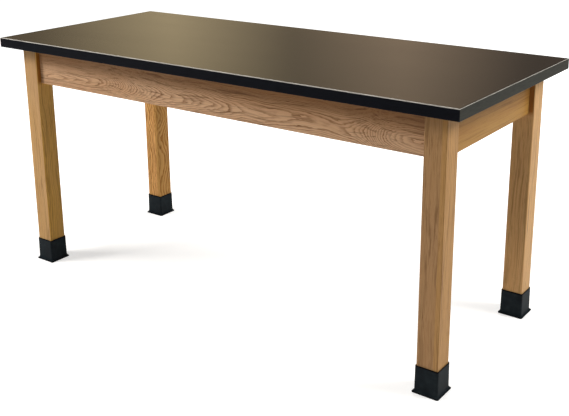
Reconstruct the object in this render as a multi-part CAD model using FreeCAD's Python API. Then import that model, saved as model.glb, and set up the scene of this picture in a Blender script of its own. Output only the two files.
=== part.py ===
import FreeCAD, Part
import math
import os

# A laboratory table on a wooden frame. A black laminated worktop sits on four square legs and four
# aprons, which steel corner brackets and hanger bolts pull together. Each leg stands on a screw
# leveller, and a rubber leg shoe with a flared foot covers the leveller and the end of the leg.
# Lengths are in millimetres. The origin is on the floor under the middle of the worktop. +Z is up,
# +X runs along the table to the right and +Y runs to its back.

# Worktop
TOP_LENGTH = 1600.0
TOP_DEPTH = 680.0
TABLE_HEIGHT = 762.0
CORE_THICKNESS = 28.0
LAMINATE_THICKNESS = 1.2
BACKER_THICKNESS = 0.8
EDGE_BAND_THICKNESS = 3.0
EDGE_BAND_ROUND = 2.0

# Legs, and how far the worktop stands past them
LEG_SIZE = 60.0
LEG_EDGE_ROUND = 2.5
END_OVERHANG = 50.0
SIDE_OVERHANG = 46.0

# Aprons, set back from the outer faces of the legs
APRON_HEIGHT = 116.0
APRON_THICKNESS = 20.0
APRON_SETBACK = 15.0
APRON_EDGE_ROUND = 1.5

# Corner brackets, bent from sheet steel, with a lip in a saw kerf of each apron
BRACKET_THICKNESS = 2.5
BRACKET_HEIGHT = 84.0
BRACKET_WING = 40.0
BRACKET_LIP = 6.0
BRACKET_TO_LEG = 14.0
BRACKET_BEND = 4.0
KERF_GAP = 0.3

# Hanger bolts, two in the flat on the inner corner of each leg
BOLT_RADIUS = 4.0
BOLT_IN_LEG = 42.0
BOLT_PAST_NUT = 4.0
BOLT_SPACING = 44.0
BOLT_FLAT_WIDTH = 22.0
BOLT_HOLE_GAP = 0.4
NUT_ACROSS_FLATS = 13.0
NUT_HEIGHT = 6.5
WASHER_RADIUS = 9.0
WASHER_THICKNESS = 1.6

# Wood screws of the brackets and the clips
SCREW_RADIUS = 2.1
SCREW_HEAD_RADIUS = 4.2
SCREW_HEAD_HEIGHT = 2.6
SCREW_SPACING = 48.0
WOOD_PAST_SCREW = 6.0
FIT_GAP = 0.1

# Angle clips that hold the worktop down on the aprons
CLIP_THICKNESS = 2.5
CLIP_LEG = 30.0
CLIP_WIDTH = 30.0
CLIP_HOLE_INSET = 18.0
CLIP_SPACING = 420.0
CLIPS_PER_SIDE = 3

# Levellers: a swivelling pad, a threaded stem with a hexagon, and a flanged insert in the leg
PAD_RADIUS = 19.0
PAD_HEIGHT = 9.0
PAD_EDGE_HEIGHT = 4.0
PAD_NECK_RADIUS = 9.0
TIP_RADIUS = 4.0
TIP_LENGTH = 6.0
HEXAGON_ACROSS_FLATS = 17.0
HEXAGON_HEIGHT = 6.0
STEM_RADIUS = 5.0
STEM_LENGTH = 52.0
STEM_CHAMFER = 1.0
INSERT_RADIUS = 8.0
INSERT_LENGTH = 25.0
INSERT_FLANGE_RADIUS = 13.0
INSERT_FLANGE_THICKNESS = 1.5
RUNNING_GAP = 0.05
SEAT_GAP = 0.3
STEM_HOLE_GAP = 1.0

# Leg shoes: a sleeve that thins towards its top, with a coved flare at its foot
SHOE_HEIGHT = 76.0
SHOE_WALL = 2.8
SHOE_TAPER = 0.6
SHOE_TOP_ROUND = 0.8
SHOE_FLARE = 4.6
SHOE_COVE_HEIGHT = 9.0
SHOE_RIM_HEIGHT = 2.5
SHOE_GAP = 0.3

# How far a cutting tool runs past the surface that it cuts, and what counts as no distance
OVERCUT = 5.0
TINY = 1e-6

# Levels above the floor
HEXAGON_BOTTOM = PAD_HEIGHT + SEAT_GAP
HEXAGON_TOP = HEXAGON_BOTTOM + HEXAGON_HEIGHT
STEM_TOP = HEXAGON_TOP + STEM_LENGTH
FLANGE_BOTTOM = HEXAGON_TOP + SEAT_GAP
LEG_BOTTOM = FLANGE_BOTTOM + INSERT_FLANGE_THICKNESS
CORE_BOTTOM = TABLE_HEIGHT - LAMINATE_THICKNESS - CORE_THICKNESS
UNDERSIDE = CORE_BOTTOM - BACKER_THICKNESS
APRON_BOTTOM = UNDERSIDE - APRON_HEIGHT
APRON_MIDDLE = UNDERSIDE - APRON_HEIGHT / 2

# The outer corner of the front left leg, and the aprons' inner faces measured inwards from it
LEG_X = END_OVERHANG - TOP_LENGTH / 2
LEG_Y = SIDE_OVERHANG - TOP_DEPTH / 2
APRON_INNER = APRON_SETBACK + APRON_THICKNESS

# Places along the diagonal of a corner, measured inwards from the leg's outer corner
ROOT_TWO = math.sqrt(2)
BOLT_FLAT_CUT = BOLT_FLAT_WIDTH / ROOT_TWO
BOLT_FLAT = ROOT_TWO * LEG_SIZE - BOLT_FLAT_WIDTH / 2
BOLT_TIP = BOLT_FLAT - BOLT_IN_LEG
WEB_FACE = BOLT_FLAT + BRACKET_TO_LEG
WASHER_FACE = WEB_FACE + BRACKET_THICKNESS
NUT_FACE = WASHER_FACE + WASHER_THICKNESS
BOLT_END = NUT_FACE + NUT_HEIGHT + BOLT_PAST_NUT

# Where the bracket's web meets the apron, and where its lip goes in
WEB_FOOT = ROOT_TWO * WEB_FACE - APRON_INNER
LIP_FACE = WEB_FOOT + BRACKET_WING

# Which way each corner of the table lies from its middle
CORNERS = {
    "front_left": (-1, -1),
    "front_right": (1, -1),
    "back_left": (-1, 1),
    "back_right": (1, 1),
}

HEXAGON_SIDES = 6
QUARTER_TURN = 90
FULL_TURN = 360
ORIGIN = FreeCAD.Vector(0, 0, 0)
RIGHT = FreeCAD.Vector(1, 0, 0)
BACK = FreeCAD.Vector(0, 1, 0)
UP = FreeCAD.Vector(0, 0, 1)


def corner(inward_x, inward_y, z):
    """A point measured inwards from the front left leg's outer corner."""
    return FreeCAD.Vector(LEG_X + inward_x, LEG_Y + inward_y, z)


def on_diagonal(distance, z):
    """A point on the front left corner's diagonal."""
    return corner(distance / ROOT_TWO, distance / ROOT_TWO, z)


def block(low, high):
    """A box between its lowest and highest corners."""
    size = high - low
    return Part.makeBox(size.x, size.y, size.z, low)


def prism(outline, bottom, top):
    """An upright prism over an outline of points."""
    base = [FreeCAD.Vector(point.x, point.y, bottom) for point in outline]
    face = Part.Face(Part.makePolygon(base + base[:1]))
    return face.extrude(UP * (top - bottom))


def rod(start, end, radius):
    """A round bar from one point to another."""
    along = end - start
    return Part.makeCylinder(radius, along.Length, start, along)


def hexagon_bar(start, end, across_flats):
    """A six-sided bar from one point to another, with its corners at across_flats / sqrt(3)."""
    radius = across_flats / math.sqrt(3)
    turns = [math.tau * side / HEXAGON_SIDES for side in range(HEXAGON_SIDES)]
    outline = [FreeCAD.Vector(radius * math.cos(turn), radius * math.sin(turn), 0) for turn in turns]
    along = end - start
    bar = prism(outline, 0, along.Length)
    bar.Placement = FreeCAD.Placement(start, FreeCAD.Rotation(UP, along))
    return bar


def turned(profile, x, y):
    """A solid of revolution about an upright axis, from (radius, height) points."""
    points = [FreeCAD.Vector(x + radius, y, z) for radius, z in profile]
    face = Part.Face(Part.makePolygon(points + points[:1]))
    return face.revolve(FreeCAD.Vector(x, y, 0), UP, FULL_TURN)


def edges_along(shape, direction):
    """The straight edges of a shape that run in one direction."""
    return [edge for edge in shape.Edges if edge.tangentAt(edge.FirstParameter).isParallel(direction, TINY)]


def edges_over(shape, points):
    """The upright edges of a shape that stand over the given points of its plan."""
    plan = [FreeCAD.Vector(point.x, point.y, 0) for point in points]
    found = []
    for edge in edges_along(shape, UP):
        foot = FreeCAD.Vector(edge.CenterOfMass.x, edge.CenterOfMass.y, 0)
        if any(foot.distanceToPoint(point) < TINY for point in plan):
            found.append(edge)
    return found


def at_corner(shape, name):
    """A front left shape mirrored to the named corner of the table."""
    to_right, to_back = CORNERS[name]
    if to_right > 0:
        shape = shape.mirror(ORIGIN, RIGHT)
    if to_back > 0:
        shape = shape.mirror(ORIGIN, BACK)
    return shape


def at_all_corners(shapes):
    """Front left shapes repeated at the four corners, as a list."""
    return [at_corner(shape, name) for name in CORNERS for shape in shapes]


def both_wings(shapes):
    """Shapes on the front apron's wing of a bracket, and their twins on the end apron's wing."""
    across = RIGHT - BACK
    return shapes + [shape.mirror(corner(0, 0, 0), across) for shape in shapes]


def save(name, shapes):
    """Write one node: a solid, or a group of separate solids."""
    node = shapes[0] if len(shapes) == 1 else Part.makeCompound(shapes)
    node.exportStep(f"parts/{name}.step")


def screw(seat, inwards, length):
    """A wood screw with its head on the seat."""
    head = rod(seat, seat - inwards * SCREW_HEAD_HEIGHT, SCREW_HEAD_RADIUS)
    return head.fuse(rod(seat, seat + inwards * length, SCREW_RADIUS)).removeSplitter()


def screw_hole(seat, inwards, length):
    """The hole that a wood screw needs in the sheet under its head and in what it holds."""
    tip = seat + inwards * (length + FIT_GAP)
    return rod(seat - inwards * OVERCUT, tip, SCREW_RADIUS + FIT_GAP)


# Corner fasteners, at the front left corner
BRACKET_SCREW_LENGTH = BRACKET_THICKNESS + APRON_THICKNESS - WOOD_PAST_SCREW
SCREW_HEIGHTS = [APRON_MIDDLE - SCREW_SPACING / 2, APRON_MIDDLE + SCREW_SPACING / 2]
BRACKET_SEATS = [
    corner(WEB_FOOT + BRACKET_WING / 2, APRON_INNER + BRACKET_THICKNESS, z) for z in SCREW_HEIGHTS
]
BOLT_HEIGHTS = [APRON_MIDDLE - BOLT_SPACING / 2, APRON_MIDDLE + BOLT_SPACING / 2]


def bracket_screws():
    """The four screws of one bracket."""
    return both_wings([screw(seat, -BACK, BRACKET_SCREW_LENGTH) for seat in BRACKET_SEATS])


def bracket_screw_holes():
    """The holes of those screws in the bracket and the aprons."""
    return both_wings([screw_hole(seat, -BACK, BRACKET_SCREW_LENGTH) for seat in BRACKET_SEATS])


def kerfs():
    """The saw kerfs that take one bracket's lips, one in each apron."""
    low = corner(LIP_FACE - KERF_GAP, APRON_INNER - BRACKET_LIP - KERF_GAP, APRON_BOTTOM - OVERCUT)
    high = corner(LIP_FACE + BRACKET_THICKNESS + KERF_GAP, APRON_INNER + OVERCUT, UNDERSIDE + OVERCUT)
    return both_wings([block(low, high)])


def corner_bracket():
    """Sheet steel bent along five runs: lip, wing, web across the corner, wing and lip."""
    lip_end = APRON_INNER - BRACKET_LIP
    wing_top = APRON_INNER + BRACKET_THICKNESS
    lip_back = LIP_FACE + BRACKET_THICKNESS
    web_back_foot = ROOT_TWO * WASHER_FACE - wing_top
    half = [
        (lip_back, wing_top),
        (lip_back, lip_end),
        (LIP_FACE, lip_end),
        (LIP_FACE, APRON_INNER),
        (WEB_FOOT, APRON_INNER),
    ]
    near = [corner(x, y, 0) for x, y in half]
    far = [corner(y, x, 0) for x, y in reversed(half)]
    back = [corner(wing_top, web_back_foot, 0), corner(web_back_foot, wing_top, 0)]
    bottom = APRON_MIDDLE - BRACKET_HEIGHT / 2
    sheet = prism(near + far + back, bottom, bottom + BRACKET_HEIGHT)
    sheet = sheet.makeFillet(BRACKET_BEND + BRACKET_THICKNESS, edges_over(sheet, [near[-1], far[0]]))
    sheet = sheet.makeFillet(BRACKET_BEND, edges_over(sheet, back))
    bolt_holes = [
        rod(on_diagonal(WEB_FACE - OVERCUT, z), on_diagonal(NUT_FACE, z), BOLT_RADIUS + BOLT_HOLE_GAP)
        for z in BOLT_HEIGHTS
    ]
    return sheet.cut(bolt_holes + bracket_screw_holes())


def hanger_bolts():
    """Two studs, screwed into the leg at one end and nutted at the other."""
    return [rod(on_diagonal(BOLT_TIP, z), on_diagonal(BOLT_END, z), BOLT_RADIUS) for z in BOLT_HEIGHTS]


def hanger_washers():
    """A flat washer on each hanger bolt, against the bracket's web."""
    washers = []
    for z in BOLT_HEIGHTS:
        start = on_diagonal(WASHER_FACE, z)
        end = on_diagonal(NUT_FACE, z)
        washers.append(rod(start, end, WASHER_RADIUS).cut(rod(start, end, BOLT_RADIUS + BOLT_HOLE_GAP)))
    return washers


def hanger_nuts():
    """A hexagon nut on each hanger bolt, against its washer."""
    nuts = []
    for z in BOLT_HEIGHTS:
        start = on_diagonal(NUT_FACE, z)
        end = on_diagonal(NUT_FACE + NUT_HEIGHT, z)
        bore = rod(start, end, BOLT_RADIUS + FIT_GAP)
        nuts.append(hexagon_bar(start, end, NUT_ACROSS_FLATS).cut(bore))
    return nuts


# Legs
LEG_MIDDLE = corner(LEG_SIZE / 2, LEG_SIZE / 2, 0)


def leg():
    """A square post with eased edges, a flat for the hanger bolts and a bored foot."""
    post = block(corner(0, 0, LEG_BOTTOM), corner(LEG_SIZE, LEG_SIZE, UNDERSIDE))
    post = post.makeFillet(LEG_EDGE_ROUND, edges_along(post, UP))
    flat = prism(
        [
            corner(LEG_SIZE - BOLT_FLAT_CUT - OVERCUT, LEG_SIZE + OVERCUT, 0),
            corner(LEG_SIZE + OVERCUT, LEG_SIZE - BOLT_FLAT_CUT - OVERCUT, 0),
            corner(LEG_SIZE + OVERCUT, LEG_SIZE + OVERCUT, 0),
        ],
        APRON_BOTTOM,
        UNDERSIDE + OVERCUT,
    )
    bolt_holes = [
        rod(on_diagonal(BOLT_TIP - FIT_GAP, z), on_diagonal(WEB_FACE, z), BOLT_RADIUS + FIT_GAP)
        for z in BOLT_HEIGHTS
    ]
    foot = LEG_MIDDLE + UP * (LEG_BOTTOM - OVERCUT)
    insert_end = LEG_MIDDLE + UP * (LEG_BOTTOM + INSERT_LENGTH + FIT_GAP)
    insert_hole = rod(foot, insert_end, INSERT_RADIUS + FIT_GAP)
    stem_end = LEG_MIDDLE + UP * (STEM_TOP + STEM_HOLE_GAP)
    stem_hole = rod(foot, stem_end, STEM_RADIUS + STEM_HOLE_GAP)
    return post.cut([flat, insert_hole, stem_hole] + bolt_holes)


# Worktop clips, each on the inner top edge of an apron with +Y pointing inwards
INNER_X = TOP_LENGTH / 2 - END_OVERHANG - APRON_INNER
INNER_Y = TOP_DEPTH / 2 - SIDE_OVERHANG - APRON_INNER
TOP_SCREW_LENGTH = CLIP_THICKNESS + BACKER_THICKNESS + CORE_THICKNESS - WOOD_PAST_SCREW
CLIP_APRON_SEAT = FreeCAD.Vector(0, CLIP_THICKNESS, -CLIP_HOLE_INSET)
CLIP_TOP_SEAT = FreeCAD.Vector(0, CLIP_HOLE_INSET, -CLIP_THICKNESS)


def clip_places():
    """Where the clips go: several along each long apron and one on each end apron."""
    first = -CLIP_SPACING * (CLIPS_PER_SIDE - 1) / 2
    spots = [first + CLIP_SPACING * number for number in range(CLIPS_PER_SIDE)]
    places = [(x, -INNER_Y, 0) for x in spots]
    places += [(x, INNER_Y, 180) for x in spots]
    places += [(-INNER_X, 0, -90), (INNER_X, 0, 90)]
    return [
        FreeCAD.Placement(FreeCAD.Vector(x, y, UNDERSIDE), FreeCAD.Rotation(UP, turn))
        for x, y, turn in places
    ]


def at_clips(shapes):
    """Shapes of one clip repeated at every clip, as a list."""
    return [shape.transformed(place.Matrix) for place in clip_places() for shape in shapes]


def clip_screws():
    """The screw of one clip into its apron, and the one up into the worktop."""
    return [
        screw(CLIP_APRON_SEAT, -BACK, BRACKET_SCREW_LENGTH),
        screw(CLIP_TOP_SEAT, UP, TOP_SCREW_LENGTH),
    ]


def clip_screw_holes():
    """The holes of those screws."""
    return [
        screw_hole(CLIP_APRON_SEAT, -BACK, BRACKET_SCREW_LENGTH),
        screw_hole(CLIP_TOP_SEAT, UP, TOP_SCREW_LENGTH),
    ]


def top_clip():
    """A right-angled steel clip with a hole in each leg."""
    half = CLIP_WIDTH / 2
    upright = block(FreeCAD.Vector(-half, 0, -CLIP_LEG), FreeCAD.Vector(half, CLIP_THICKNESS, 0))
    flat = block(FreeCAD.Vector(-half, 0, -CLIP_THICKNESS), FreeCAD.Vector(half, CLIP_LEG, 0))
    return upright.fuse(flat).removeSplitter().cut(clip_screw_holes())


# Aprons
def eased_below(board):
    """A board with its two long lower edges rounded."""
    low = board.BoundBox.ZMin
    along = RIGHT if board.BoundBox.XLength > board.BoundBox.YLength else BACK
    edges = [edge for edge in edges_along(board, along) if edge.CenterOfMass.z < low + TINY]
    return board.makeFillet(APRON_EDGE_ROUND, edges)


def long_apron():
    """The front apron, between the front legs."""
    low = corner(LEG_SIZE, APRON_SETBACK, APRON_BOTTOM)
    high = FreeCAD.Vector(-LEG_X - LEG_SIZE, LEG_Y + APRON_INNER, UNDERSIDE)
    return eased_below(block(low, high))


def end_apron():
    """The left end apron, between the left legs."""
    low = corner(APRON_SETBACK, LEG_SIZE, APRON_BOTTOM)
    high = FreeCAD.Vector(LEG_X + APRON_INNER, -LEG_Y - LEG_SIZE, UNDERSIDE)
    return eased_below(block(low, high))


# Worktop
CORE_HALF_LENGTH = TOP_LENGTH / 2 - EDGE_BAND_THICKNESS
CORE_HALF_DEPTH = TOP_DEPTH / 2 - EDGE_BAND_THICKNESS


def sheet(bottom, top):
    """A layer of the worktop inside its edge bands."""
    low = FreeCAD.Vector(-CORE_HALF_LENGTH, -CORE_HALF_DEPTH, bottom)
    return block(low, FreeCAD.Vector(CORE_HALF_LENGTH, CORE_HALF_DEPTH, top))


def edge_band(length, to_edge, turn):
    """A mitred strip round the worktop's edge, with both of its outer edges rounded."""
    easing = min(EDGE_BAND_ROUND, EDGE_BAND_THICKNESS)
    shoulder = easing * (1 - 1 / ROOT_TWO)
    start = -length / 2
    inner = EDGE_BAND_THICKNESS - to_edge
    outer = -to_edge

    def at(inset, z):
        return FreeCAD.Vector(start, outer + inset, z)

    low = UNDERSIDE
    high = TABLE_HEIGHT
    runs = [
        Part.LineSegment(at(EDGE_BAND_THICKNESS, low), at(easing, low)),
        Part.Arc(at(easing, low), at(shoulder, low + shoulder), at(0, low + easing)),
        Part.LineSegment(at(0, low + easing), at(0, high - easing)),
        Part.Arc(at(0, high - easing), at(shoulder, high - shoulder), at(easing, high)),
        Part.LineSegment(at(easing, high), at(EDGE_BAND_THICKNESS, high)),
        Part.LineSegment(at(EDGE_BAND_THICKNESS, high), at(EDGE_BAND_THICKNESS, low)),
    ]
    runs = [run for run in runs if run.length() > TINY]
    strip = Part.Face(Part.Wire([run.toShape() for run in runs])).extrude(RIGHT * length)
    mitred = prism(
        [
            FreeCAD.Vector(start, outer, 0),
            FreeCAD.Vector(-start, outer, 0),
            FreeCAD.Vector(-start - EDGE_BAND_THICKNESS, inner, 0),
            FreeCAD.Vector(start + EDGE_BAND_THICKNESS, inner, 0),
        ],
        low - OVERCUT,
        high + OVERCUT,
    )
    return strip.common(mitred).rotate(ORIGIN, UP, turn)


# Levellers
def leveller_pad():
    """The swivelling foot, with a socket for the tip of the stem."""
    socket = TIP_RADIUS + RUNNING_GAP
    floor_of_socket = HEXAGON_BOTTOM - TIP_LENGTH - SEAT_GAP
    profile = [
        (0, 0),
        (PAD_RADIUS, 0),
        (PAD_RADIUS, PAD_EDGE_HEIGHT),
        (PAD_NECK_RADIUS, PAD_HEIGHT),
        (socket, PAD_HEIGHT),
        (socket, floor_of_socket),
        (0, floor_of_socket),
    ]
    return turned(profile, LEG_MIDDLE.x, LEG_MIDDLE.y)


def leveller_stem():
    """The threaded stem, with its tip in the pad and a hexagon for a spanner."""
    tip_bottom = HEXAGON_BOTTOM - TIP_LENGTH
    tip = rod(LEG_MIDDLE + UP * tip_bottom, LEG_MIDDLE + UP * HEXAGON_BOTTOM, TIP_RADIUS)
    hexagon = hexagon_bar(
        LEG_MIDDLE + UP * HEXAGON_BOTTOM, LEG_MIDDLE + UP * HEXAGON_TOP, HEXAGON_ACROSS_FLATS
    )
    thread = turned(
        [
            (0, HEXAGON_TOP),
            (STEM_RADIUS, HEXAGON_TOP),
            (STEM_RADIUS, STEM_TOP - STEM_CHAMFER),
            (STEM_RADIUS - STEM_CHAMFER, STEM_TOP),
            (0, STEM_TOP),
        ],
        LEG_MIDDLE.x,
        LEG_MIDDLE.y,
    )
    return tip.fuse([hexagon, thread]).removeSplitter()


def leveller_insert():
    """The flanged bush in the end of the leg that the stem screws into."""
    bore = STEM_RADIUS + RUNNING_GAP
    profile = [
        (bore, FLANGE_BOTTOM),
        (INSERT_FLANGE_RADIUS, FLANGE_BOTTOM),
        (INSERT_FLANGE_RADIUS, LEG_BOTTOM),
        (INSERT_RADIUS, LEG_BOTTOM),
        (INSERT_RADIUS, LEG_BOTTOM + INSERT_LENGTH),
        (bore, LEG_BOTTOM + INSERT_LENGTH),
    ]
    return turned(profile, LEG_MIDDLE.x, LEG_MIDDLE.y)


# Leg shoes
def shoe_profile(x, y):
    """The section of the shoe's wall and flare, standing in the X plane, outwards along -Y."""
    wall = SHOE_GAP + SHOE_WALL
    rim = wall + SHOE_FLARE
    top_wall = wall - SHOE_TAPER
    cove_top = SHOE_RIM_HEIGHT + SHOE_COVE_HEIGHT
    cove_radius = (SHOE_FLARE**2 + SHOE_COVE_HEIGHT**2) / (2 * SHOE_FLARE)
    half_turn = math.asin(SHOE_COVE_HEIGHT / cove_radius) / 2
    cove_middle_out = wall + cove_radius * (1 - math.cos(half_turn))
    cove_middle_z = cove_top - cove_radius * math.sin(half_turn)
    shoulder = SHOE_TOP_ROUND * (1 - 1 / ROOT_TWO)
    round_start = SHOE_HEIGHT - SHOE_TOP_ROUND

    def at(outwards, z):
        return FreeCAD.Vector(x, y - outwards, z)

    runs = [
        Part.LineSegment(at(SHOE_GAP, 0), at(rim, 0)),
        Part.LineSegment(at(rim, 0), at(rim, SHOE_RIM_HEIGHT)),
        Part.Arc(at(rim, SHOE_RIM_HEIGHT), at(cove_middle_out, cove_middle_z), at(wall, cove_top)),
        Part.LineSegment(at(wall, cove_top), at(top_wall, round_start)),
        Part.Arc(
            at(top_wall, round_start),
            at(top_wall - shoulder, SHOE_HEIGHT - shoulder),
            at(top_wall - SHOE_TOP_ROUND, SHOE_HEIGHT),
        ),
        Part.LineSegment(at(top_wall - SHOE_TOP_ROUND, SHOE_HEIGHT), at(SHOE_GAP, SHOE_HEIGHT)),
        Part.LineSegment(at(SHOE_GAP, SHOE_HEIGHT), at(SHOE_GAP, 0)),
    ]
    return Part.Face(Part.Wire([run.toShape() for run in runs]))


def leg_shoe():
    """The profile carried round the leg: straight along each side, turned round each edge."""
    straight = LEG_SIZE - 2 * LEG_EDGE_ROUND
    edge_axis = corner(LEG_SIZE - LEG_EDGE_ROUND, LEG_EDGE_ROUND, 0)
    side = shoe_profile(LEG_X + LEG_EDGE_ROUND, LEG_Y).extrude(RIGHT * straight)
    bend = shoe_profile(LEG_X + LEG_SIZE - LEG_EDGE_ROUND, LEG_Y).revolve(edge_axis, UP, QUARTER_TURN)
    pieces = []
    for turn in range(0, FULL_TURN, QUARTER_TURN):
        pieces.append(side.rotated(LEG_MIDDLE, UP, turn))
        pieces.append(bend.rotated(LEG_MIDDLE, UP, turn))
    return pieces[0].fuse(pieces[1:]).removeSplitter()


# Write every node
os.makedirs("parts", exist_ok=True)

top_holes = at_clips(clip_screw_holes())
save("top_core", [sheet(CORE_BOTTOM, CORE_BOTTOM + CORE_THICKNESS).cut(top_holes)])
save("worktop_laminate", [sheet(CORE_BOTTOM + CORE_THICKNESS, TABLE_HEIGHT)])
save("underside_backer", [sheet(UNDERSIDE, CORE_BOTTOM).cut(top_holes)])
save("edge_band_front", [edge_band(TOP_LENGTH, TOP_DEPTH / 2, 0)])
save("edge_band_back", [edge_band(TOP_LENGTH, TOP_DEPTH / 2, 180)])
save("edge_band_left", [edge_band(TOP_DEPTH, TOP_LENGTH / 2, -90)])
save("edge_band_right", [edge_band(TOP_DEPTH, TOP_LENGTH / 2, 90)])

apron_cuts = at_all_corners(kerfs() + bracket_screw_holes()) + top_holes
save("front_apron", [long_apron().cut(apron_cuts)])
save("back_apron", [long_apron().mirror(ORIGIN, BACK).cut(apron_cuts)])
save("left_end_apron", [end_apron().cut(apron_cuts)])
save("right_end_apron", [end_apron().mirror(ORIGIN, RIGHT).cut(apron_cuts)])

corner_nodes = {
    "leg": leg(),
    "corner_bracket": corner_bracket(),
    "leveller_insert": leveller_insert(),
    "leveller_stem": leveller_stem(),
    "leveller_pad": leveller_pad(),
    "leg_shoe": leg_shoe(),
}
for piece, shape in corner_nodes.items():
    for name in CORNERS:
        save(f"{piece}_{name}", [at_corner(shape, name)])

save("hanger_bolts", at_all_corners(hanger_bolts()))
save("hanger_washers", at_all_corners(hanger_washers()))
save("hanger_nuts", at_all_corners(hanger_nuts()))
save("bracket_screws", at_all_corners(bracket_screws()))
save("top_clips", at_clips([top_clip()]))
save("top_clip_screws", at_clips(clip_screws()))
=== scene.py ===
# %% [markdown]
# A laboratory table: a black laminate worktop on an ash frame, with a rubber shoe on each leg.
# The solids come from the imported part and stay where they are. This lesson dresses them: it gives each
# surface the finish of the real material, and builds again, as surfaces worked out with numpy, the
# pieces whose solids are too plain to show, such as the moulded shoes and the threads.
# Lengths are in metres and the frame is the part's own: X along the table, Y to the back, Z up.

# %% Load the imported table
import math

import bpy
import numpy as np
from mathutils import Matrix, Vector


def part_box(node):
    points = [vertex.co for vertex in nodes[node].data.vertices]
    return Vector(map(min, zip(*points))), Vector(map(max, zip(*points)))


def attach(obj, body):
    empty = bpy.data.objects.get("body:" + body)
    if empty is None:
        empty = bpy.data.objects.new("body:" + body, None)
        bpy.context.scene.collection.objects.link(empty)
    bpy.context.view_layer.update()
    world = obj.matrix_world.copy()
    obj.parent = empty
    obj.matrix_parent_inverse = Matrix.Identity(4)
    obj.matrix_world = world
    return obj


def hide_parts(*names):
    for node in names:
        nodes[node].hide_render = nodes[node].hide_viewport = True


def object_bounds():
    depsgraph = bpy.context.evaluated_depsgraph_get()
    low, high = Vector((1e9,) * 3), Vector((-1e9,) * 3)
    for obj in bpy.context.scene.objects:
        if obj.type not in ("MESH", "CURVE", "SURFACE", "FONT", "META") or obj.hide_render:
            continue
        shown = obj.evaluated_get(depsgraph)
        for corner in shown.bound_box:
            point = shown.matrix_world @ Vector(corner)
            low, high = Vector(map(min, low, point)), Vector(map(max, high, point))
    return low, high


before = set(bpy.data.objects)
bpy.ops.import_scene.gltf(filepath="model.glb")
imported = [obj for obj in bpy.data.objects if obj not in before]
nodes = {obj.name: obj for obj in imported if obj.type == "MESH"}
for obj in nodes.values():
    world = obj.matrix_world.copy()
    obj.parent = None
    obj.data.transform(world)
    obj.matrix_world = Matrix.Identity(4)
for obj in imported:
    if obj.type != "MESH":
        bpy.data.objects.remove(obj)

solid_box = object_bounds()
MM = 0.001
CORNERS = ("front_left", "front_right", "back_left", "back_right")
print("nodes:", len(nodes), "box:", [round(value, 4) for point in solid_box for value in point])

# %% [markdown]
# The camera stands where the photograph was taken from: in front of the right end, a little above the
# worktop. The picture was taken with the lens shifted, so that the legs stay nearly upright, and
# a small part of that shift is kept here, because the views from other sides keep it too. The angles
# and the place were found by fitting the table's edges to the picture. Aiming the camera with
# a constraint would be shorter, but turning the angles into a matrix by hand keeps roll and shift apart.

# %% Camera
PICTURE_WIDTH = 569
SENSOR_WIDTH = 36.0
FOCAL_PIXELS = 920.3
LENS_SHIFT = -0.14
CAMERA_PLACE = Vector((1.6473, -2.1381, 1.2733))
AZIMUTH = math.radians(36.396)
ELEVATION = math.radians(15.781)
ROLL = math.radians(-0.484)

forward = Vector(
    (
        -math.sin(AZIMUTH) * math.cos(ELEVATION),
        math.cos(AZIMUTH) * math.cos(ELEVATION),
        -math.sin(ELEVATION),
    )
)
level_right = forward.cross(Vector((0, 0, 1))).normalized()
level_up = level_right.cross(forward)
right = math.cos(ROLL) * level_right + math.sin(ROLL) * level_up
up = math.cos(ROLL) * level_up - math.sin(ROLL) * level_right

camera_data = bpy.data.cameras.new("camera")
camera_data.sensor_width = SENSOR_WIDTH
camera_data.lens = FOCAL_PIXELS * SENSOR_WIDTH / PICTURE_WIDTH
camera_data.shift_y = LENS_SHIFT
camera = bpy.data.objects.new("camera", camera_data)
camera_turn = Matrix((right, up, -forward)).transposed().to_4x4()
camera.matrix_world = Matrix.Translation(CAMERA_PLACE) @ camera_turn
bpy.context.scene.collection.objects.link(camera)
bpy.context.scene.camera = camera
print("lens:", round(camera_data.lens, 2), "mm")

# %% [markdown]
# Materials are node trees: small steps of arithmetic that hand on their results. One function adds any
# node. It takes the node's own settings, the values or links of its sockets and, for a colour ramp, its
# stops. A function for each kind of node would read shorter, but would hide the names that Blender uses.
# Colours are written as the hex values that a picture shows, and one function turns them into the linear
# values that light adds up in.

# %% Colours and nodes
# a Mix node numbers its sockets: the share, and for colours the two inputs and the result
SHARE = 0
FROM_COLOUR = 6
TO_COLOUR = 7
MIXED = 2


def linear(hex_colour):
    """A hex colour as linear red, green, blue and full opacity.

    The sRGB rule: dark values are divided by 12.92, and lighter ones are raised to the power of 2.4.
    """
    shown = np.array([int(hex_colour[i : i + 2], 16) for i in (1, 3, 5)]) / 255
    low = shown / 12.92
    high = ((shown + 0.055) / 1.055) ** 2.4
    return (*np.where(shown <= 0.04045, low, high).tolist(), 1.0)


def add(tree, kind, inputs=None, out=0, stops=None, **settings):
    """Adds one node and gives back one of its outputs.

    An input that is another node's output becomes a link, and any other value is written to the socket.
    """
    node = tree.nodes.new("ShaderNode" + kind)
    for name, value in settings.items():
        setattr(node, name, value)
    for socket, value in (inputs or {}).items():
        if isinstance(value, bpy.types.NodeSocket):
            tree.links.new(value, node.inputs[socket])
        else:
            node.inputs[socket].default_value = value
    if stops:
        ramp = node.color_ramp
        ramp.elements[0].position = stops[0][0]
        ramp.elements[-1].position = stops[-1][0]
        for position, _ in stops[1:-1]:
            ramp.elements.new(position)
        for element, (_, colour) in zip(ramp.elements, stops):
            element.color = linear(colour)
    return node.outputs[out] if node.outputs else None


print("the grey #808080 is", round(linear("#808080")[0], 3), "in linear light")

# %% [markdown]
# Every pattern here reads Object coordinates, which are metres in the table's own frame. So a pattern's
# scale is one over a real size, and the pattern stays on its piece when the piece moves. Generated
# coordinates would stretch with each piece's box instead.

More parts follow.
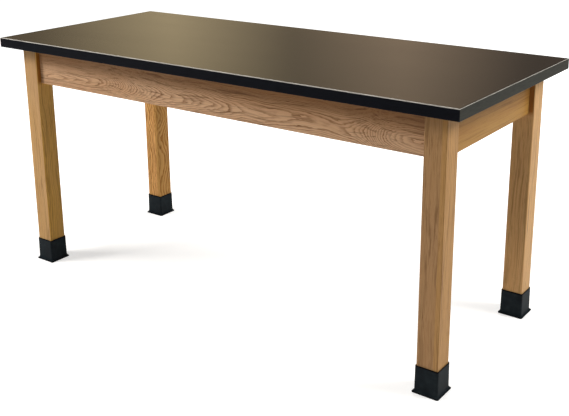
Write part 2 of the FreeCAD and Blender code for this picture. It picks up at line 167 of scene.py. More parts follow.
# %% Starting and giving a material
def per(*sizes):
    """Pattern scales from real sizes in millimetres, one for each axis."""
    return tuple(1 / (size * MM) for size in sizes)


def start_material(name):
    """A material with an empty node tree, and the Object coordinates that its patterns read."""
    material = bpy.data.materials.new(name)
    material.use_nodes = True
    material.node_tree.nodes.clear()
    tree = material.node_tree
    return material, tree, add(tree, "TexCoord", out="Object")


def dress(material, *names):
    """Gives a material to CAD nodes."""
    for name in names:
        mesh = nodes[name].data
        mesh.materials.clear()
        mesh.materials.append(material)
    print(material.name, "on", len(names), "nodes")


print("a pattern of 4 mm repeats", round(per(4)[0]), "times in a metre")

# %% [markdown]
# Ash is a ring-porous wood: each year's ring starts with a dark band of open pores and ends in dense pale
# wood. A board shows where its face cuts those rings. A pattern drawn straight on the face would be
# quicker, but it would not run on over the edges and the ends. So the material works out where each point
# lies in the log, and its distance from the heart gives the ring. The heart wanders behind the board,
# and where it comes near, the rings open into the nested arches of flat-sawn ash.

# %% A point's place in the log
WANDERS_PER_METRE = 3.1
MIDDLE_OF_NOISE = (0.5, 0.5, 0.5)
TURNS = {"X": (0, 0, 0), "Y": (0, 0, -math.pi / 2), "Z": (0, math.pi / 2, 0)}


def place_in_log(tree, place, grain, heart, seed, sway, steps):
    """Where a point lies in the log: X along the grain, Y and Z out from the wandering heart.

    The point is turned until its grain runs along X, and counted from the heart. Noise along the grain
    times the sway moves it in depth and height. Each step moves it in depth by its push, times the
    hyperbolic tangent of the way from the step's middle over the step's length.
    """
    turned = Matrix.Rotation(TURNS[grain][2], 3, "Z") @ Matrix.Rotation(TURNS[grain][1], 3, "Y")
    to_heart = -(turned @ Vector(heart))
    log = add(tree, "Mapping", {"Vector": place, "Rotation": TURNS[grain], "Location": to_heart})
    along = add(tree, "SeparateXYZ", {0: log}, out="X")
    seeded = add(tree, "Math", {0: along, 1: seed}, operation="ADD")
    waves = {"W": seeded, "Scale": WANDERS_PER_METRE, "Detail": 2.0}
    wander = add(tree, "TexNoise", waves, out="Color", noise_dimensions="1D")
    centred = add(tree, "VectorMath", {0: wander, 1: MIDDLE_OF_NOISE}, operation="SUBTRACT")
    swayed = add(tree, "VectorMath", {0: centred, 1: (0.0, *sway)}, operation="MULTIPLY")
    log = add(tree, "VectorMath", {0: log, 1: swayed}, operation="ADD")
    for middle, length, push in steps:
        offset = add(tree, "Math", {0: along, 1: middle}, operation="SUBTRACT")
        reach = add(tree, "Math", {0: offset, 1: length}, operation="DIVIDE")
        bend = add(tree, "Math", {0: reach}, operation="TANH")
        shift = add(tree, "VectorMath", {0: (0.0, push, 0.0), "Scale": bend}, operation="SCALE")
        log = add(tree, "VectorMath", {0: log, 1: shift}, operation="ADD")
    return log


print("a log's heart wanders in waves of about", round(1000 / WANDERS_PER_METRE), "mm")

# %% [markdown]
# The ring that a point lies in is its distance from the heart over the width of a ring. The whole part of
# that number is the year, which sets how strongly the ring shows, and the fraction is the season: dark at
# once in spring, then paler. A Wave texture could draw rings too, but all of them alike. Small
# waves on the distance, a little over two ordinary rings high, keep them from being perfect circles.

# %% Rings of the log
RING = 3.2 * MM
WAVE_HEIGHT = 2.2
FAINTEST_RING = 0.3
STRONGEST_RING = 0.85
STAVE_JUMP = 70 * MM
SEASON = [(0.0, "#ffffff"), (0.22, "#d0d0d0"), (0.5, "#404040"), (0.88, "#000000"), (1.0, "#ffffff")]


def early_wood(tree, log, ring, figure, stave):
    """How much dark early wood each point shows: its season's darkness times its year's strength.

    A stave of a glued-up piece comes from another place in the log, so its tone moves the distance.
    """
    across = add(tree, "VectorMath", {0: log, 1: (0.0, 1.0, 1.0)}, operation="MULTIPLY")
    distance = add(tree, "VectorMath", {0: across}, out="Value", operation="LENGTH")
    stretched = add(tree, "Mapping", {"Vector": log, "Scale": per(143, 31, 31)})
    waves = add(tree, "TexNoise", {"Vector": stretched, "Scale": 1.0, "Detail": 4.0, "Roughness": 0.55})
    wave = WAVE_HEIGHT * max(ring, RING)
    wavy = add(tree, "Math", {0: waves, 1: wave, 2: distance}, operation="MULTIPLY_ADD")
    if stave is not None:
        wavy = add(tree, "Math", {0: stave, 1: STAVE_JUMP, 2: wavy}, operation="MULTIPLY_ADD")
    count = add(tree, "Math", {0: wavy, 1: ring}, operation="DIVIDE")
    season = add(tree, "Math", {0: count}, operation="FRACT")
    year = add(tree, "Math", {0: count}, operation="FLOOR")
    chance = add(tree, "TexWhiteNoise", {"W": year}, noise_dimensions="1D")
    darkness = add(tree, "ValToRGB", {0: season}, stops=SEASON)
    limits = {"To Min": FAINTEST_RING * figure, "To Max": STRONGEST_RING * figure}
    strength = add(tree, "MapRange", {"Value": chance, **limits})
    return add(tree, "Math", {0: darkness, 1: strength}, operation="MULTIPLY")


print("rings are", round(RING / MM, 1), "mm wide")

# %% [markdown]
# Pores and fibres run along the grain, so their noise is stretched along it. Pores are really 0.3 mm wide
# and are drawn about three times wider, so that they show. The legs are glued up from staves.
# Separate boards would show the same joints, but a leg is one piece to anyone who uses the table,
# so here a point finds the number of its stave, and chance gives each stave its own tone.

# %% Pores, fibres and staves
STAVE = 24 * MM


def pores_and_fibres(tree, log, early):
    """Two patterns: open pores, which are noise cut to dots in the early wood, and the fibres' noise."""
    drawn_out = add(tree, "Mapping", {"Vector": log, "Scale": per(38, 1.6, 1.6)})
    dots = add(tree, "TexNoise", {"Vector": drawn_out, "Scale": 1.0, "Detail": 1.0})
    cut = add(tree, "ValToRGB", {0: dots}, stops=[(0.56, "#000000"), (0.66, "#ffffff")])
    pores = add(tree, "Math", {0: cut, 1: early}, operation="MULTIPLY")
    combed = add(tree, "Mapping", {"Vector": log, "Scale": per(286, 5.9, 5.9)})
    fibres = add(tree, "TexNoise", {"Vector": combed, "Scale": 1.0, "Detail": 4.0, "Roughness": 0.65})
    return pores, fibres


def stave_tone(tree, place, first_face, seed):
    """A tone from 0 to 1 for each stave: chance, from the number of staves between a point and the first."""
    across = add(tree, "SeparateXYZ", {0: place}, out="X")
    from_face = add(tree, "Math", {0: across, 1: first_face}, operation="SUBTRACT")
    in_staves = add(tree, "Math", {0: from_face, 1: STAVE}, operation="DIVIDE")
    number = add(tree, "Math", {0: in_staves}, operation="FLOOR")
    seeded = add(tree, "Math", {0: number, 1: seed}, operation="ADD")
    return add(tree, "TexWhiteNoise", {"W": seeded}, noise_dimensions="1D")


print("staves are", round(STAVE / MM), "mm wide")

# %% [markdown]
# Painted shade: the wood is painted darker where shade falls, on the legs in the inner corners beside
# the aprons, and on the long aprons under the overhang of the worktop. An Ambient Occlusion node could find
# such corners by itself, but it is slow and changes when a piece moves, so two functions find them by place.
# The table is alike on both sides of its middle, so distances from the middle serve all four legs.

# %% Painted shade in corners and under the worktop
SHADE_UNDER_TOP = (20 * MM, 70 * MM)
SHADE_UNDER_TOP_SHARE = 0.6
NEAR_FACE = (0.8 * MM, 0.2 * MM)
FROM_OUTER_EDGE = (1 * MM, 4 * MM)
LOWER_BLUR = 8 * MM
right_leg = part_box("leg_front_right")
inner_faces = (right_leg[0].x, -right_leg[1].y)
outer_faces = (right_leg[1].x, -right_leg[0].y)
apron_edge, apron_top = (point.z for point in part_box("front_apron"))


def painted_shade_beside_aprons(tree, place):
    """Painted shade: 1 on the faces of a leg that the aprons butt against, fading to 0 at the aprons' lower
    edge.

    For either face: how near a point is to the face times how far it is from the leg's outer edge.
    """
    apart = add(tree, "VectorMath", {0: place}, operation="ABSOLUTE")
    x, y, z = (add(tree, "SeparateXYZ", {0: apart}, out=axis) for axis in "XYZ")
    faces = []
    for across, along, axis in ((x, y, 0), (y, x, 1)):
        inner = inner_faces[axis]
        outer = outer_faces[1 - axis]
        limits = {"From Min": inner + NEAR_FACE[0], "From Max": inner + NEAR_FACE[1]}
        on_face = add(tree, "MapRange", {"Value": across, **limits})
        limits = {"From Min": outer - FROM_OUTER_EDGE[0], "From Max": outer - FROM_OUTER_EDGE[1]}
        inside = add(tree, "MapRange", {"Value": along, **limits})
        faces.append(add(tree, "Math", {0: on_face, 1: inside}, operation="MULTIPLY"))
    either = add(tree, "Math", {0: faces[0], 1: faces[1]}, operation="MAXIMUM")
    limits = {"From Min": apron_edge - LOWER_BLUR, "From Max": apron_edge + LOWER_BLUR}
    above = add(tree, "MapRange", {"Value": z, **limits})
    return add(tree, "Math", {0: either, 1: above}, operation="MULTIPLY")


def painted_shade_under_worktop(tree, place):
    """A share of painted shade near an apron's upper edge, where the worktop's overhang shades it, which
    fades to 0 in a smooth step below it.
    """
    z = add(tree, "SeparateXYZ", {0: place}, out="Z")
    limits = {"From Min": apron_top - SHADE_UNDER_TOP[1], "From Max": apron_top - SHADE_UNDER_TOP[0]}
    share = {"Value": z, **limits, "To Max": SHADE_UNDER_TOP_SHARE}
    return add(tree, "MapRange", share, interpolation_type="SMOOTHSTEP")


print("aprons reach from", round(apron_edge / MM), "to", round(apron_top / MM), "mm above the floor")

# %% [markdown]
# The finish is a satin lacquer, brushed on thin: it deepens the wood and sinks a little into the open pores,
# so the pores are duller and lower. A clear coat over the wood would give a second, sharper shine that
# thin lacquer lacks, so the wood's own shader carries the gloss.

# %% Lacquered ash
SWAY = (12 * MM, 30 * MM)
DARK_STREAK = "#a0968d"
# painted shade: the colour that darkens the wood where shade falls
PAINTED_SHADE_COLOUR = "#c8ae89"
STAVE_SHARE = 0.7
STREAK_SHARE = 0.75


def ash(
    name,
    grain,
    heart,
    seed,
    tones,
    sway=SWAY,
    steps=(),
    staves_from=None,
    figure=1.0,
    ring=RING,
    streak=DARK_STREAK,
    painted_shade=None,
):
    """Ash with satin lacquer: pale wood, then early wood, streaks and pores over it.

    heart is a point on the log's axis; tones are pale wood, warmer pale wood, early wood and pores.
    sway is how far the heart wanders in depth and in height. Each step is where along the grain the heart
    goes deeper or comes nearer, over what length and by how much, which bends the rings into arches.
    painted_shade is a function that gives how much shade is painted at a point.
    """
    material, tree, place = start_material(name)
    pale, warm, early, pore = (linear(tone) for tone in tones)
    log = place_in_log(tree, place, grain, heart, seed, sway, steps)
    stave = None if staves_from is None else stave_tone(tree, place, staves_from, seed)
    rings = early_wood(tree, log, ring, figure, stave)
    pores, fibres = pores_and_fibres(tree, log, rings)

    wide = add(tree, "Mapping", {"Vector": log, "Scale": per(714, 62, 62)})
    drift = add(tree, "TexNoise", {"Vector": wide, "Scale": 1.0, "Detail": 2.0})
    warmth = add(tree, "ValToRGB", {0: drift}, stops=[(0.38, "#000000"), (0.62, "#ffffff")])
    if stave is not None:
        by_stave = {SHARE: STAVE_SHARE, FROM_COLOUR: warmth, TO_COLOUR: stave}
        warmth = add(tree, "Mix", by_stave, out=MIXED, data_type="RGBA")
    body = {SHARE: warmth, FROM_COLOUR: pale, TO_COLOUR: warm}
    body = add(tree, "Mix", body, out=MIXED, data_type="RGBA")
    ringed = {SHARE: rings, FROM_COLOUR: body, TO_COLOUR: early}
    ringed = add(tree, "Mix", ringed, out=MIXED, data_type="RGBA")
    tints = [(0.34, streak), (0.5, "#ffffff"), (0.72, "#e6dfd6")]
    streaks = add(tree, "ValToRGB", {0: fibres}, stops=tints)
    streaked = {SHARE: STREAK_SHARE, FROM_COLOUR: ringed, TO_COLOUR: streaks}
    streaked = add(tree, "Mix", streaked, out=MIXED, data_type="RGBA", blend_type="MULTIPLY")
    colour = {SHARE: pores, FROM_COLOUR: streaked, TO_COLOUR: pore}
    colour = add(tree, "Mix", colour, out=MIXED, data_type="RGBA")
    # painted shade: the wood is darkened in the corners beside the aprons and under the worktop's overhang
    if painted_shade is not None:
        darker = {SHARE: painted_shade(tree, place), FROM_COLOUR: colour, TO_COLOUR: linear(PAINTED_SHADE_COLOUR)}
        colour = add(tree, "Mix", darker, out=MIXED, data_type="RGBA", blend_type="MULTIPLY")

    gloss = add(tree, "MapRange", {"Value": pores, "To Min": 0.44, "To Max": 0.64})
    sunk = add(tree, "Math", {0: fibres, 1: pores}, operation="SUBTRACT")
    relief = add(tree, "Bump", {"Strength": 0.35, "Distance": 0.25 * MM, "Height": sunk})
    lacquer = {"Roughness": gloss, "IOR": 1.5, "Specular IOR Level": 0.07, "Normal": relief}
    shader = add(tree, "BsdfPrincipled", {"Base Color": colour, **lacquer})
    add(tree, "OutputMaterial", {0: shader})
    return material


print("a log's heart wanders by", [round(way / MM) for way in SWAY], "mm in depth and height")

# %% [markdown]
# The two long aprons are wide flat-sawn boards: the heart of the log lies a few centimetres behind the
# face, low down, so arches show along the lower half and the upper half runs straighter. The front one
# is from a slow-grown log, with rings half as wide, and steps in the heart's depth open its arches at the
# left and make them swirl near the right end. Only the log's place differs, so both use one function.

# %% Long aprons
PINK_ASH = ("#cfa884", "#c59a73", "#906748", "#5a3a23")
HEART_DEPTH = 46 * MM
HEART_ABOVE_EDGE = 34 * MM
FRONT_STEPS = [(-0.3, 0.11, -0.016), (0.05, 0.5, -0.014), (0.56, 0.06, 0.015)]
BACK_STEPS = [(0.1, 0.11, 0.024)]

front_low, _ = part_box("front_apron")
_, back_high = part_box("back_apron")
heart_height = front_low.z + HEART_ABOVE_EDGE
front_ash = ash(
    "flat_sawn_ash_front",
    "X",
    (0, front_low.y + HEART_DEPTH, heart_height),
    seed=2.0,
    tones=PINK_ASH,
    sway=(6 * MM, 30 * MM),
    steps=FRONT_STEPS,
    figure=1.3,
    ring=0.52 * RING,
    # painted shade under the worktop's overhang
    painted_shade=painted_shade_under_worktop,
)
back_ash = ash(
    "flat_sawn_ash_back",
    "X",
    (0, back_high.y - HEART_DEPTH, heart_height),
    seed=7.4,
    tones=PINK_ASH,
    steps=BACK_STEPS,
    # painted shade under the worktop's overhang
    painted_shade=painted_shade_under_worktop,
)
dress(front_ash, "front_apron")
dress(back_ash, "back_apron")

# %% [markdown]
# The end aprons are quarter-sawn from another, more golden board. Their heart is far below them, so the
# rings cross the face as soft, nearly straight lines. The same function gives that: only the heart is
# further away, it wanders less, and the rings and the streaks are fainter.

# %% End aprons
GOLD_ASH = ("#ab8142", "#a27338", "#865929", "#5a3a1d")
END_HEART = 160 * MM
END_APRONS = {"right": (4.1, 1), "left": (9.7, -1)}
for side, (seed, outward) in END_APRONS.items():
    end_low, end_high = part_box(side + "_end_apron")
    outer_face = end_high.x if outward > 0 else end_low.x
    end_ash = ash(
        "quarter_sawn_ash_" + side,
        "Y",
        (outer_face - outward * END_HEART / 4, 0, front_low.z - END_HEART),
        seed,
        GOLD_ASH,
        sway=(6 * MM, 8 * MM),
        figure=0.45,
        streak="#c6beb5",
    )
    dress(end_ash, side + "_end_apron")

# %% [markdown]
# Each leg is glued up from staves that stand side by side across its front, so the front shows bands of
# differing tone, and the side of the leg shows one stave. The legs are cut from different boards. The
# front left one is pinkish with a golden stave at its right, the back left one orange in front and brown
# beside, with a bold figure, and the right ones are browner. What is planed off the first stave, the trim,
# keeps the joints a little away from the faces, where rounding could speckle them.

# %% Legs
SOFT_STREAK = "#b6ada4"
LEG_HEART = (60 * MM, 35 * MM)
PINK_LEG = ("#b39171", "#d6a655", "#9c6d3c", "#68421f")
DARK_LEG = ("#c09359", "#b18a62", "#886040", "#593a20")
BROWN_LEG = ("#d2a670", "#d1a36d", "#976f4a", "#5b3b20")
ORANGE_LEG = ("#ebb270", "#b88c4e", "#8f5823", "#4c2b10")
QUIET = {"figure": 0.7, "sway": (20 * MM, 20 * MM), "ring": RING}
BOLD = {"figure": 1.4, "sway": (70 * MM, 70 * MM), "ring": 2.2 * RING}
LEG_BOARDS = {
    "front_left": (PINK_LEG, 42.6, 14 * MM, QUIET),
    "front_right": (DARK_LEG, 16.4, 1 * MM, QUIET),
    "back_left": (ORANGE_LEG, 19.9, 1 * MM, BOLD),
    "back_right": (BROWN_LEG, 13.4, 1 * MM, QUIET),
}
for corner, (tones, seed, trim, cut) in LEG_BOARDS.items():
    low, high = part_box("leg_" + corner)
    heart = (low.x - LEG_HEART[0], low.y - LEG_HEART[1], 0)
    leg_ash = ash(
        "glued_ash_leg_" + corner,
        "Z",
        heart,
        seed,
        tones,
        staves_from=low.x - trim,
        streak=SOFT_STREAK,
        # painted shade in the corners beside the aprons
        painted_shade=painted_shade_beside_aprons,
        **cut,
    )
    dress(leg_ash, "leg_" + corner)

# %% [markdown]
# The worktop is black high-pressure laminate: paper soaked in resin and pressed against a satin plate.
# The eye sees almost no colour of its own, only a soft reflection of the room that grows stronger where
# it is seen at a low angle. Painting that shine would look wrong from other sides. So the base
# colour is nearly black, the gloss comes from the shader's own Fresnel reflection, and wiping marks and
# a fine unevenness of the plate break it up. The real grain of the plate is too fine to show, so it is
# drawn 2.5 mm wide.

# %% Black laminate
PLATE_GRAIN = 2.5
laminate, tree, place = start_material("black_satin_laminate")
plate_grain = add(tree, "TexNoise", {"Vector": place, "Scale": per(PLATE_GRAIN)[0], "Detail": 2.0})
wiping = add(tree, "Mapping", {"Vector": place, "Scale": per(500, 110, 1000)})
smears = add(tree, "TexNoise", {"Vector": wiping, "Scale": 1.0, "Detail": 3.0})
gloss = add(tree, "MapRange", {"Value": smears, "To Min": 0.2, "To Max": 0.25})
speckle = add(tree, "ValToRGB", {0: plate_grain}, stops=[(0.35, "#141311"), (0.7, "#1d1b18")])
relief = add(tree, "Bump", {"Strength": 0.02, "Distance": 0.05 * MM, "Height": plate_grain})
satin = {"Base Color": speckle, "Roughness": gloss, "IOR": 1.5, "Normal": relief}
shader = add(tree, "BsdfPrincipled", satin)
add(tree, "OutputMaterial", {0: shader})
dress(laminate, "worktop_laminate")

# %% [markdown]
# The edges carry a black plastic band. After gluing, its upper corner is scraped round. There the material
# paints a pale line: partly the dull line a scraper leaves, as plastic does where it is cut, and partly a
# painted highlight where the round corner catches the light. A thin strip of its own could show that line,
# but it is the same plastic, so the material finds it by height and by distance from the side: on the long
# bands the whole top is pale, on the ends only the rounded corner. The end bands' faces are painted greyer
# than the long ones, a painted sheen of the light on the ends.

# %% Edge bands
PALE_LINE_BLUR = 0.3 * MM
BANDS = {
    "long": {
        "sides": ("front", "back"),
        "axis": "Y",
        "face": ("#05060b", "#0b0d14"),
        # the pale line: scraped plastic and a painted highlight on the rounded corner
        "line": ("#96928b", "#b2ada5"),
        "line_height": 1.7 * MM,
        "line_width": 3.0 * MM,
    },
    "end": {
        "sides": ("left", "right"),
        "axis": "X",
        # the end bands' faces are painted greyer than the long ones: a painted sheen
        "face": ("#25251f", "#32322b"),
        "line": ("#918d86", "#aca79f"),
        "line_height": 1.0 * MM,
        "line_width": 1.5 * MM,
    },
}


def scraped_and_highlight_share(tree, place, band):
    """How pale the plastic is, from scraping and a painted highlight: a soft step in height times a soft
    step in distance from the middle.
    """
    height = add(tree, "SeparateXYZ", {0: place}, out="Z")
    line_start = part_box("edge_band_front")[1].z - band["line_height"]
    limits = {"From Min": line_start - PALE_LINE_BLUR, "From Max": line_start + PALE_LINE_BLUR}
    near_top = add(tree, "MapRange", {"Value": height, **limits})
    across = add(tree, "SeparateXYZ", {0: place}, out=band["axis"])
    outward = add(tree, "Math", {0: across}, operation="ABSOLUTE")
    line_inside = solid_box[1]["XY".index(band["axis"])] - band["line_width"]
    limits = {"From Min": line_inside - PALE_LINE_BLUR, "From Max": line_inside + PALE_LINE_BLUR}
    near_side = add(tree, "MapRange", {"Value": outward, **limits})
    return add(tree, "Math", {0: near_top, 1: near_side}, operation="MULTIPLY")


for kind, band in BANDS.items():
    plastic, tree, place = start_material("black_plastic_band_" + kind)
    scraped_and_highlight = scraped_and_highlight_share(tree, place, band)
    drawn = add(tree, "Mapping", {"Vector": place, "Scale": per(33, 33, 1.4)})
    drag_lines = add(tree, "TexNoise", {"Vector": drawn, "Scale": 1.0, "Detail": 2.0})
    face = add(tree, "ValToRGB", {0: drag_lines}, stops=list(zip((0.35, 0.65), band["face"])))
    pale_line = add(tree, "ValToRGB", {0: drag_lines}, stops=list(zip((0.3, 0.7), band["line"])))
    colour = {SHARE: scraped_and_highlight, FROM_COLOUR: face, TO_COLOUR: pale_line}
    colour = add(tree, "Mix", colour, out=MIXED, data_type="RGBA")
    relief = add(tree, "Bump", {"Strength": 0.1, "Distance": 0.05 * MM, "Height": drag_lines})
    dull = {"Roughness": 0.5, "IOR": 1.5, "Specular IOR Level": 0.05, "Normal": relief}
    shader = add(tree, "BsdfPrincipled", {"Base Color": colour, **dull})
    add(tree, "OutputMaterial", {0: shader})
    dress(plastic, *("edge_band_" + side for side in band["sides"]))

# %% [markdown]
# Inside the worktop is particle board: flakes of wood pressed with glue, seen as short straws of differing
# browns. Modelled straws would be far too many, so stretched Voronoi cells give each straw its own
# tone and height. Below the board a brown backing sheet of the same pressed paper as the laminate, sanded
# for the glue, shows as long fine scratches.

# %% Core board and backing sheet
STRAWS_TURNED = (0, 0, 0.5)
core, tree, place = start_material("particle_board")
straw_size = {"Scale": per(9, 5.5, 1.4), "Rotation": STRAWS_TURNED}
lying = add(tree, "Mapping", {"Vector": place, **straw_size})
straws = add(tree, "TexVoronoi", {"Vector": lying, "Scale": 1.0}, out="Color")
browns = [(0.0, "#8c6b45"), (0.5, "#b89468"), (1.0, "#d2b48a")]
tone = add(tree, "ValToRGB", {0: straws}, stops=browns)
relief = add(tree, "Bump", {"Strength": 0.4, "Distance": 0.3 * MM, "Height": straws})
shader = add(tree, "BsdfPrincipled", {"Base Color": tone, "Roughness": 0.85, "Normal": relief})
add(tree, "OutputMaterial", {0: shader})
dress(core, "top_core")

backer, tree, place = start_material("sanded_backing_sheet")
sanded = add(tree, "Mapping", {"Vector": place, "Scale": per(110, 1.9, 1000)})
scratches = add(tree, "TexNoise", {"Vector": sanded, "Scale": 1.0, "Detail": 3.0})
tone = add(tree, "ValToRGB", {0: scratches}, stops=[(0.3, "#30261f"), (0.7, "#4a3c31")])
relief = add(tree, "Bump", {"Strength": 0.2, "Distance": 0.1 * MM, "Height": scratches})
shader = add(tree, "BsdfPrincipled", {"Base Color": tone, "Roughness": 0.7, "Normal": relief})
add(tree, "OutputMaterial", {0: shader})
dress(backer, "underside_backer")

# %% [markdown]
# The fittings under the worktop are zinc-plated steel. Bright zinc is a bluish silver with cloudy patches
# from the bath, neither a mirror nor plain grey. One flat tone would look like paint, so the
# roughness and the tone drift together.

# %% Zinc-plated steel
STEEL = "zinc_plated_steel"
zinc, tree, place = start_material(STEEL)
clouds = add(tree, "TexNoise", {"Vector": place, "Scale": per(11)[0], "Detail": 4.0})
silvers = [(0.3, "#b0b5ba"), (0.5, "#bfc3c5"), (0.72, "#c8c7bf")]
tone = add(tree, "ValToRGB", {0: clouds}, stops=silvers)
gloss = add(tree, "MapRange", {"Value": clouds, "To Min": 0.3, "To Max": 0.46})
grain = add(tree, "TexNoise", {"Vector": place, "Scale": per(0.8)[0], "Detail": 2.0})
relief = add(tree, "Bump", {"Strength": 0.12, "Distance": 0.05 * MM, "Height": grain})
plated = {"Base Color": tone, "Metallic": 1.0, "Roughness": gloss, "Normal": relief}
shader = add(tree, "BsdfPrincipled", plated)
add(tree, "OutputMaterial", {0: shader})
dress(zinc, *("corner_bracket_" + corner for corner in CORNERS), "top_clips", "hanger_washers")
dress(zinc, *("leveller_insert_" + corner for corner in CORNERS))

# %% [markdown]
# The levellers stand on pads of moulded black nylon. A mould for feet is blasted, so nylon takes a fine
# even grain from it, which keeps it from shining. The solid already has the pad's shape, so only the
# finish is added, as a little bump and a small change of tone.

# %% Nylon pads
nylon, tree, place = start_material("moulded_black_nylon")
blasted = add(tree, "TexNoise", {"Vector": place, "Scale": per(0.9)[0], "Detail": 2.0})
tone = add(tree, "ValToRGB", {0: blasted}, stops=[(0.3, "#1f2022"), (0.7, "#2c2d2f")])
relief = add(tree, "Bump", {"Strength": 0.15, "Distance": 0.08 * MM, "Height": blasted})
moulded = {"Base Color": tone, "Roughness": 0.48, "IOR": 1.53, "Normal": relief}
shader = add(tree, "BsdfPrincipled", moulded)
add(tree, "OutputMaterial", {0: shader})
dress(nylon, *("leveller_pad_" + corner for corner in CORNERS))

# %% [markdown]
# New pieces are grids of points: rows follow a profile and columns go once round it. A profile that closes
# on itself makes a ring, as in a shoe or a nut, and an open one is closed with a flat cap at each end,
# as on a bolt. Copies of a grid lie in one mesh. Cutting and joining ready-made shapes would also
# do, but whole arrays keep each shape one formula, and its faces in order.

# %% Grids into pieces
def face_lists(rows, columns, closed):
    """Quads between neighbouring rows and columns, and a cap at each end of an open profile."""
    last_row = rows if closed else rows - 1
    row, column = np.meshgrid(np.arange(last_row), np.arange(columns), indexing="ij")
    next_row = (row + 1) % rows
    next_column = (column + 1) % columns
    corners = [(row, column), (row, next_column), (next_row, next_column), (next_row, column)]
    quads = np.stack([r * columns + c for r, c in corners], axis=-1).reshape(-1, 4).tolist()
    if closed:
        return quads
    last = (rows - 1) * columns
    return quads + [list(range(columns))[::-1], list(range(last, last + columns))]


def make_piece(name, grids, material, body, replaced, closed=False, crease=35):
    """One object from a stack of equal grids, shaded smooth up to a crease angle in degrees."""
    copies, rows, columns, _ = grids.shape
    faces = face_lists(rows, columns, closed)
    size = rows * columns
    every = [[vertex + size * copy for vertex in face] for copy in range(copies) for face in faces]
    mesh = bpy.data.meshes.new(name)
    mesh.from_pydata(grids.reshape(-1, 3).tolist(), [], every)
    mesh.polygons.foreach_set("use_smooth", np.ones(len(mesh.polygons), dtype=bool))
    mesh.set_sharp_from_angle(angle=math.radians(crease))
    mesh.materials.append(material)
    mesh.update()
    piece = bpy.data.objects.new(name, mesh)
    bpy.context.scene.collection.objects.link(piece)
    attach(piece, body)
    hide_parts(replaced)
    low, high = (np.array(corner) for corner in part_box(replaced))
    found = grids.reshape(-1, 3)
    past = np.maximum(low - found.min(0), found.max(0) - high).max()
    print(name, len(mesh.polygons), "faces, past the solid by", np.round(past / MM, 2), "mm")


print("a closed grid of 3 by 4 points has", len(face_lists(3, 4, True)), "faces")

# %% [markdown]
# The shoes are moulded rubber. The mould gives the walls a fine grain, and wax that comes out of the rubber
# clouds them. The lip and the foot are painted blacker: painted shade where their round edges turn away
# from the light. Two materials would meet in a hard line, so one material fades from wall to lip and foot
# by height.

# %% Rubber
LIP_PAINTED_SHADE = 4.0 * MM
FOOT_PAINTED_SHADE = 5.5 * MM
shoe_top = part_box("leg_shoe_front_left")[1].z
rubber, tree, place = start_material("moulded_black_rubber")
mould = add(tree, "TexNoise", {"Vector": place, "Scale": per(1.4)[0], "Detail": 3.0})
bloom = add(tree, "TexNoise", {"Vector": place, "Scale": per(22)[0], "Detail": 3.0})
blacks = [(0.3, "#12171b"), (0.55, "#192024"), (0.8, "#242a2d")]
wall_tone = add(tree, "ValToRGB", {0: bloom}, stops=blacks)
# painted shade: the lip and the foot are darkened by height
height = add(tree, "SeparateXYZ", {0: place}, out="Z")
from_top = {"From Min": shoe_top - LIP_PAINTED_SHADE, "From Max": shoe_top - LIP_PAINTED_SHADE / 2}
lip = add(tree, "MapRange", {"Value": height, **from_top})
foot = add(tree, "MapRange", {"Value": height, "From Min": FOOT_PAINTED_SHADE, "From Max": FOOT_PAINTED_SHADE / 2})
# smooth is the share of painted shade at the lip and the foot
smooth = add(tree, "Math", {0: lip, 1: foot}, operation="MAXIMUM")
tone = {SHARE: smooth, FROM_COLOUR: wall_tone, TO_COLOUR: linear("#040506")}
tone = add(tree, "Mix", tone, out=MIXED, data_type="RGBA")
gloss = add(tree, "MapRange", {"Value": bloom, "To Min": 0.42, "To Max": 0.62})
relief = add(tree, "Bump", {"Strength": 0.25, "Distance": 0.12 * MM, "Height": mould})
soft = {"Roughness": gloss, "IOR": 1.52, "Specular IOR Level": 0.05, "Normal": relief}
shader = add(tree, "BsdfPrincipled", {"Base Color": tone, **soft})
add(tree, "OutputMaterial", {0: shader})
print(rubber.name, "is blacker below", FOOT_PAINTED_SHADE / MM, "mm and in the top", LIP_PAINTED_SHADE / MM, "mm")

# %% [markdown]
# A leg shoe is a sleeve: a thin wall that widens a little downwards, a cove at the foot and a flat rim on
# the floor. Real ones are soft, so every edge of theirs is round. Bevels on the solid would round all
# edges alike, while a profile drawn from arcs gives the lip, the cove and the rim each its own radius.

# %% Profile of a leg shoe
SHOE_GAP = 0.3 * MM
SHOE_WALL = 2.8 * MM
SHOE_TAPER = 0.6 * MM
COVE_HEIGHT = 7.9 * MM
RIM_HEIGHT = 3.6 * MM
RIM_ROUND = 2.2 * MM
INSIDE_ROWS = (0.75, 0.5, 0.25)


def arc(centre, radius, start, end, count):
    """Points of an arc in the profile's plane, as offset and height, between two angles in degrees."""
    angle = np.radians(np.linspace(start, end, count))
    return np.stack([centre[0] + radius * np.cos(angle), centre[1] + radius * np.sin(angle)], axis=-1)


